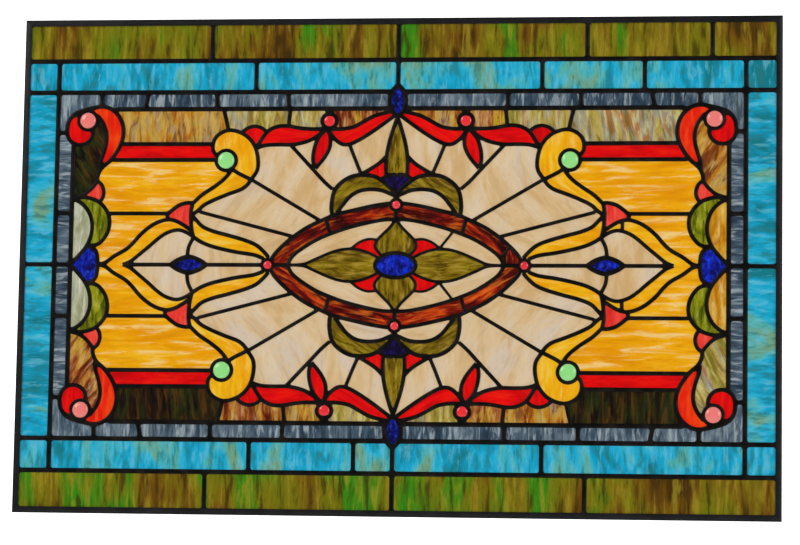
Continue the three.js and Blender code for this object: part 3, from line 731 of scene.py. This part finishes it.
for place, (side, end) in QUARTERS.items():
    for number, x, y in ((1, 150, 148), (2, 95, 148), (3, 45, 150)):
        cut_glass(f"small_marbled_glass_{number}_{place}", (x * side, y * end),
                  inner_marbles[place][number - 1], turn=0)
    cut_glass(f"corner_glass_{place}", (310 * side, 108 * end), corner_marbles[place], turn=-30 * side * end)

# Amber and gold.
amber = opal_glass("amber_opalescent_glass", ["#f09a00", "#f8a800", "#fcb204", "#ffc018"],
                   "#ffdc8c", "#e08c00", 0.85, 0.5, cloud=(0.02, 0.10), streak=(0.006, 0.05), swirl=0.8), "amber_opal_glass"
gold = opal_glass("gold_opalescent_glass", ["#fca804", "#ffb80c", "#ffc414"],
                  "#ffe070", "#ec9400", 0.5, 0.5, cloud=(0.02, 0.05), streak=(0.006, 0.03)), "gold_opal_glass"
# Reds.
red = opal_glass("red_cathedral_glass", ["#d80004", "#ee0206", "#fa0a06"], "#ff2c0c", "#b00004",
                 0.4, 0.5, cloud=(0.02, 0.05), roughness=0.1), "red_cathedral_glass"
orange_red = opal_glass("orange_red_glass", ["#ec1006", "#f82808", "#ff440c"], "#ff5c18", "#d40c04",
                        0.5, 0.5, cloud=(0.02, 0.05), roughness=0.1), "red_cathedral_glass"
salmon = opal_glass("salmon_glass", ["#ee3028", "#f84034", "#ff5240"], "#ff7a60", "#d82018",
                    0.4, 0.5, cloud=(0.01, 0.03), roughness=0.1), "red_cathedral_glass"
maroon = opal_glass("maroon_streaky_glass", ["#240204", "#480404", "#7a0c04", "#b42c08", "#e05010"],
                    "#f07820", "#200202", 0.6, 0.8, cloud=(0.012, 0.05), streak=(0.004, 0.03)), "maroon_streaky_glass"
# Cream, petals, crescents, blues.
cream = opal_glass("cream_opalescent_glass", ["#dcb47c", "#e4c290", "#e6caa0", "#e0ccb4"],
                   "#ecd8bc", "#d0a874", 0.5, 0.5, cloud=(0.04, 0.08), streak=(0.012, 0.05), swirl=0.8), "cream_opal_glass"
petal_glass = opal_glass("olive_petal_glass", ["#5c4404", "#786008", "#8c740c", "#a08818"],
                         "#c0a040", "#483400", 0.6, 0.9, cloud=(0.014, 0.04), streak=(0.004, 0.02)), "olive_opal_glass"
crescent_glass = opal_glass("green_crescent_glass", ["#505404", "#747c04", "#8c9008", "#a0a010"],
                            "#c0c048", "#404804", 0.6, 0.9, cloud=(0.012, 0.03), streak=(0.004, 0.02)), "olive_opal_glass"
moon_glass = opal_glass("pale_green_glass", ["#a0a078", "#c0c0a0", "#c8ccb4"], "#ecece0", "#809070",
                        0.6, 0.7, cloud=(0.012, 0.03)), "cream_opal_glass"
moon_amber = opal_glass("mottled_amber_glass", ["#c07808", "#dc9c18", "#e4b440"], "#f4dc90", "#a86408",
                        0.6, 0.7, cloud=(0.012, 0.03)), "amber_opal_glass"
blue = opal_glass("cobalt_hammered_glass", ["#080c50", "#0c1a98", "#1030d8"], "#3050f4", "#0a0438",
                  0.5, 0.9, cloud=(0.012, 0.02), streak=(0.004, 0.006), roughness=0.08, ripple=0.7), "blue_hammered_glass"
violet = opal_glass("dark_violet_glass", ["#0c0424", "#140838", "#1c0c50"], "#30188c", "#08021c",
                    0.5, 0.8, cloud=(0.012, 0.02), streak=(0.004, 0.006), roughness=0.08, ripple=0.7), "blue_hammered_glass"

for place, (side, end) in QUARTERS.items():
    quarter_pieces = [
        ("hook", (326, 134), red, 0, ()),
        ("tall_scroll", (286, 135), orange_red, 0, ()),
        ("salmon_triangle", (305, 74), salmon, 0, ()),
        ("green_crescent", (299, 44), crescent_glass, 0, ()),
        ("half_moon", (320, 40), moon_glass if side < 0 else moon_amber, 0, ()),
        ("red_bar_glass", (230, 114), red, 90, ("red_bar",)),
        ("amber_glass_outer", (240, 80), amber, 90, ("amber_field",)),
        ("amber_glass_inner", (275, 35), amber, 90, ("amber_field",)),
        ("gold_scroll_head", (160, 120), gold, 0, ("gold_scroll",)),
        ("gold_scroll_neck", (184, 72), gold, 60, ("gold_scroll",)),
        ("gold_ribbon", (170, 22), gold, 90, ("gold_scroll",)),
        ("red_triangle", (215, 49), salmon, 0, ()),
        ("cream_spade_glass_outer", (235, 18), cream, 0, ()),
        ("cream_spade_glass_inner", (176, 8), cream, 0, ()),
        ("cream_fan_glass_1", (150, 33), cream, 60, ("cream_fan",)),
        ("cream_fan_glass_2", (146, 58), cream, 40, ("cream_fan",)),
        ("cream_fan_glass_3", (105, 90), cream, 20, ("cream_fan",)),
        ("cream_fan_glass_4", (91, 114), cream, 10, ("cream_fan",)),
        ("cream_fan_glass_5", (60, 105), cream, 0, ("cream_fan",)),
        ("cream_fan_glass_6", (25, 120), cream, 0, ("cream_fan",)),
        ("cream_crescent_glass", (30, 66), cream, 80, ()),
        ("small_red_triangle", (144, 131), red, 0, ()),
        ("leaf_outer", (108, 131), red, 90, ()),
        ("leaf_lower", (76, 118), red, 0, ()),
        ("leaf_inner", (45, 131), red, 60, ()),
        ("teardrop_triangle", (19, 97), red, 0, ()),
        ("olive_crescent", (40, 82), petal_glass, 60, ()),
        ("ring_glass_inner", (35, 48), maroon, 80, ("eye_ring",)),
        ("ring_glass_outer", (97, 26), maroon, 60, ("eye_ring",)),
        ("eye_glass", (80, 20), cream, 70, ("eye_white",)),
        ("eye_triangle", (32, 20), red, 0, ("eye_white",)),
    ]
    for name, (x, y), glass, turn, nodes in quarter_pieces:
        cut_glass(f"{name}_{place}", (x * side, y * end), glass, turn=turn * side * end,
                  nodes=[f"{node}_{place}" for node in nodes])
for place, side in SIDES.items():
    cut_glass(f"gold_spear_glass_{place}", (284 * side, 1), gold, turn=90, nodes=[f"gold_spear_{place}"])
    cut_glass(f"blue_heart_glass_{place}", (312 * side, 1), blue, nodes=[f"blue_heart_{place}"])
    cut_glass(f"blue_marquise_{place}", (208 * side, 0), blue, -0.1)
    cut_glass(f"olive_petal_glass_{place}", (60 * side, 1), petal_glass, turn=90, nodes=[f"olive_petal_{place}"])
for place, end in ENDS.items():
    cut_glass(f"marquise_{place}", (0, 165 * end), blue, -0.12)
    cut_glass(f"teardrop_{place}", (0, 115 * end), petal_glass)
    cut_glass(f"violet_heart_{place}", (0, 82 * end), violet)
    cut_glass(f"olive_petal_glass_{place}", (0, 25 * end), petal_glass, nodes=[f"olive_petal_{place}"])
cut_glass("blue_oval_glass", (0, 0), blue, nodes=["blue_oval"])
for x, y in ((215, 38), (215, -38)):
    cut_glass(f"gold_spear_end_{'top' if y > 0 else 'bottom'}", (x, y), gold, turn=90, nodes=["gold_spear_right"])
for x, y in ((30, 33), (30, -33)):
    cut_glass(f"eye_glass_inner_{'top' if y > 0 else 'bottom'}", (x, y), cream, turn=70, nodes=[f"eye_white_{'top' if y > 0 else 'bottom'}_right"])
cut_glass("ring_glass_tip", (118, 7), maroon, nodes=["eye_ring_top_right"])
for k in unused_cells:
    print("UNUSED", k, np.round(cells[k].mean(axis=0), 1), round(area(cells[k]), 1))
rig.replaces(bpy.data.objects["cream_spade_glass_outer_top_left"], "cream_spade_left")
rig.replaces(bpy.data.objects["cream_spade_glass_outer_top_right"], "cream_spade_right")


# ---- Glass jewels ------------------------------------------------------------------------------
# Round cabochons pressed in a mould: flat behind, domed and fire polished in front. Each sits in a
# ring of solder. The red and pink balls are smaller ones of the same make.
# Pressed glass of one body colour, with a paler painted reflection blended in towards the rim of the dome.
def jewel_glass(name, body, rim):
    material, tree, shader = new_material(name)
    # The second, paler colour is painted towards the rim, where the dome turns away from the view: a painted
    # reflection of the glass's sheen, not a colour of the glass itself.
    facing = add(tree, "ShaderNodeLayerWeight", Blend=0.35)
    mixed = add(tree, "ShaderNodeMix", {"data_type": "RGBA"}, Factor=facing.outputs["Facing"],
                A=linear(body), B=linear(rim))
    tree.links.new(next(s for s in mixed.outputs if s.enabled), shader.inputs["Base Color"])
    shader.inputs["Roughness"].default_value = 0.06
    shader.inputs["IOR"].default_value = 1.52
    shader.inputs["Coat Weight"].default_value = 0.3
    shader.inputs["Coat Roughness"].default_value = 0.03
    return material


# Each jewel's first colour is its glass; the second, paler one is a painted reflection at the rim of its dome.
jewel_kinds = {
    "pink_jewel": (jewel_glass("pink_pressed_glass", "#ff8078", "#ffb0a8"), "pink_jewel_glass"),
    "green_jewel": (jewel_glass("green_pressed_glass", "#98ee88", "#c8ffc0"), "green_jewel_glass"),
    "red_ball": (jewel_glass("red_pressed_glass", "#fa1c28", "#ff5040"), "red_cathedral_glass"),
    "side_ball": (jewel_glass("ruby_pressed_glass", "#f02030", "#ff5848"), "red_cathedral_glass"),
    "end_ball": (jewel_glass("rose_pressed_glass", "#f83040", "#ff6858"), "red_cathedral_glass"),
}


def jewel(name, x, y, radius, dome, material, slot):
    """A cabochon: a ball whose back is pressed flat."""
    bpy.ops.object.select_all(action="DESELECT")
    bpy.ops.mesh.primitive_uv_sphere_add(segments=32, ring_count=18, radius=1)
    ball = bpy.context.object
    ball.name = name
    for vertex in ball.data.vertices:
        across, up, out = vertex.co
        out = dome * out if out > 0 else max(2 * GLASS_FACE * out * 3, -2 * GLASS_FACE)
        vertex.co = Vector((x + radius * across, -GLASS_FACE - out, y + MIDDLE + radius * up)) * MM
    ball.data.materials.append(material)
    bpy.ops.object.shade_smooth_by_angle(angle=math.radians(40))
    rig.ride(ball, "root")
    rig.slot(ball, slot)
    return ball


for kind, (x, y, half_width, half_height, width) in rings.items():
    if kind == "blue_oval":
        continue
    material, slot_name = jewel_kinds[kind]
    done = set()
    for place, (side, end) in QUARTERS.items():
        spot = (x * side + 0.0, y * end + 0.0)
        if spot in done:
            continue
        done.add(spot)
        unused_cells = [k for k in unused_cells if not is_inside(cells[k], spot)]
        made = jewel(f"{kind}_{place}", *spot, half_width - width / 2 + 0.3, 2.9 if width < 3.9 and half_width > 7 else 1.8,
                     material, slot_name)
        if kind in ("pink_jewel", "green_jewel"):
            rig.replaces(made, f"{kind}_{place}")
        made.name = f"{kind}_dome_{place}"
for k in unused_cells:
    print("UNUSED", k, np.round(cells[k].mean(axis=0), 1), round(area(cells[k]), 1))


# ---- Zinc channels -----------------------------------------------------------------------------
# Rolled zinc U channel, 1/4 in wide, pushed over the edge of the panel, mitred at the corners, and
# blackened with the rest. The solder that joins the corners is not drawn.
CHANNEL_FACE = 6.35
CHANNEL_HALF = 3.0
CHANNEL_WALL = 1.2
OUTER = (381, 249)
zinc, tree, shader = new_material("blackened_zinc")
place = add(tree, "ShaderNodeTexCoord").outputs["Object"]
worn = add(tree, "ShaderNodeTexNoise", Vector=place, Scale=40, Detail=5, Roughness=0.65)
tints = add(tree, "ShaderNodeValToRGB", Fac=worn.outputs["Fac"])
tints.color_ramp.elements[0].position = 0.4
tints.color_ramp.elements[0].color = linear("#0e0e0f")
tints.color_ramp.elements[1].position = 0.75
tints.color_ramp.elements[1].color = linear("#222226")
tree.links.new(tints.outputs["Color"], shader.inputs["Base Color"])
shader.inputs["Metallic"].default_value = 0.6
shader.inputs["Roughness"].default_value = 0.38
bump = add(tree, "ShaderNodeBump", Strength=0.2, Distance=0.0003, Height=worn.outputs["Fac"])
tree.links.new(bump.outputs["Normal"], shader.inputs["Normal"])

section = [(0.0, -2.2), (0.25, -2.75), (0.8, -3.0), (6.0, -3.0), (6.35, -2.7), (6.35, -1.75), (1.2, -1.75),
           (1.2, 1.75), (6.35, 1.75), (6.35, 2.7), (6.0, 3.0), (0.8, 3.0), (0.25, 2.75), (0.0, 2.2)]
for name, along, inward, half, reach in (
        ("bottom", (1, 0), (0, 1), OUTER[0], OUTER[1]), ("top", (-1, 0), (0, -1), OUTER[0], OUTER[1]),
        ("left", (0, -1), (1, 0), OUTER[1], OUTER[0]), ("right", (0, 1), (-1, 0), OUTER[1], OUTER[0])):
    points = []
    for end in (-1, 1):
        for depth, y in section:
            run = end * (half - depth)
            x = along[0] * run + inward[0] * (depth - reach)
            z = along[1] * run + inward[1] * (depth - reach)
            points.append((x, y, z + MIDDLE))
    count = len(section)
    faces = [list(range(count)), list(range(2 * count - 1, count - 1, -1))]
    faces += [((k + 1) % count, k, k + count, (k + 1) % count + count) for k in range(count)]
    channel = piece(f"channel_{name}", np.array(points) * MM, faces, zinc, 30)
    bm = bmesh.new()
    bm.from_mesh(channel.data)
    bmesh.ops.recalc_face_normals(bm, faces=bm.faces)
    bm.to_mesh(channel.data)
    bm.free()
    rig.replaces(channel, f"zinc_channel_{name}")
    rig.slot(channel, "blackened_zinc")


# ---- Studio ------------------------------------------------------------------------------------
# The panel hangs in front of a white wall, above a pale floor, in soft even light.
def plain(name, colour, glow=0.0):
    material, tree, shader = new_material(name)
    shader.inputs["Base Color"].default_value = linear(colour)
    shader.inputs["Roughness"].default_value = 0.9
    shader.inputs["Emission Color"].default_value = (1, 1, 1, 1)
    shader.inputs["Emission Strength"].default_value = glow
    return material


bpy.ops.mesh.primitive_plane_add(size=12, location=(0, 0, -0.9))
floor = bpy.context.object
floor.name = "floor"
floor.data.materials.append(plain("pale_floor", "#f4f4f2"))
bpy.ops.mesh.primitive_plane_add(size=12, location=(0, 2.2, 0), rotation=(math.pi / 2, 0, 0))
wall = bpy.context.object
wall.name = "wall"
wall.data.materials.append(plain("white_wall", "#ffffff", 1.0))
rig.stage(floor, wall)


def soft_light(name, place, size, power):
    lamp = bpy.data.lights.new(name, "AREA")
    lamp.shape, lamp.size, lamp.energy = "SQUARE", size, power
    made = bpy.data.objects.new(name, lamp)
    made.location = place
    made.rotation_euler = (Vector((0, 0, 0.25)) - made.location).to_track_quat("-Z", "Y").to_euler()
    bpy.context.collection.objects.link(made)


soft_light("key_left", (-2.2, -2.0, 1.8), 1.6, 34)
soft_light("fill_right", (2.4, -2.0, 1.0), 1.6, 24)
world = bpy.data.worlds.new("studio")
bpy.context.scene.world = world
world.use_nodes = True
world.node_tree.nodes["Background"].inputs["Color"].default_value = (1, 1, 1, 1)
world.node_tree.nodes["Background"].inputs["Strength"].default_value = 0.4
bpy.context.scene.view_settings.view_transform = "Standard"

AZIMUTH, ELEVATION, ROLL = 6.866, -6.307, 0.932
DISTANCE = 3.0377
LENS = 137.88
TARGET = Vector((0.0047, 0.0, 0.242))
camera = bpy.data.objects.new("camera", bpy.data.cameras.new("camera"))
camera.data.sensor_width = 36
camera.data.lens = LENS
azimuth, elevation = math.radians(AZIMUTH), math.radians(ELEVATION)
toward_camera = Vector((math.sin(azimuth) * math.cos(elevation), -math.cos(azimuth) * math.cos(elevation),
                        math.sin(elevation)))
camera.location = TARGET + toward_camera * DISTANCE
camera.rotation_mode = "QUATERNION"
camera.rotation_quaternion = toward_camera.to_track_quat("Z", "Y")
camera.rotation_quaternion.rotate(__import__("mathutils").Quaternion(toward_camera, math.radians(ROLL)))
bpy.context.collection.objects.link(camera)
bpy.context.scene.camera = camera

scene_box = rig.bounds()
boxes = {"cad": [list(corner) for corner in solids_box], "visual": [list(corner) for corner in scene_box]}
with open("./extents.json", "w") as file:
    json.dump(boxes, file)
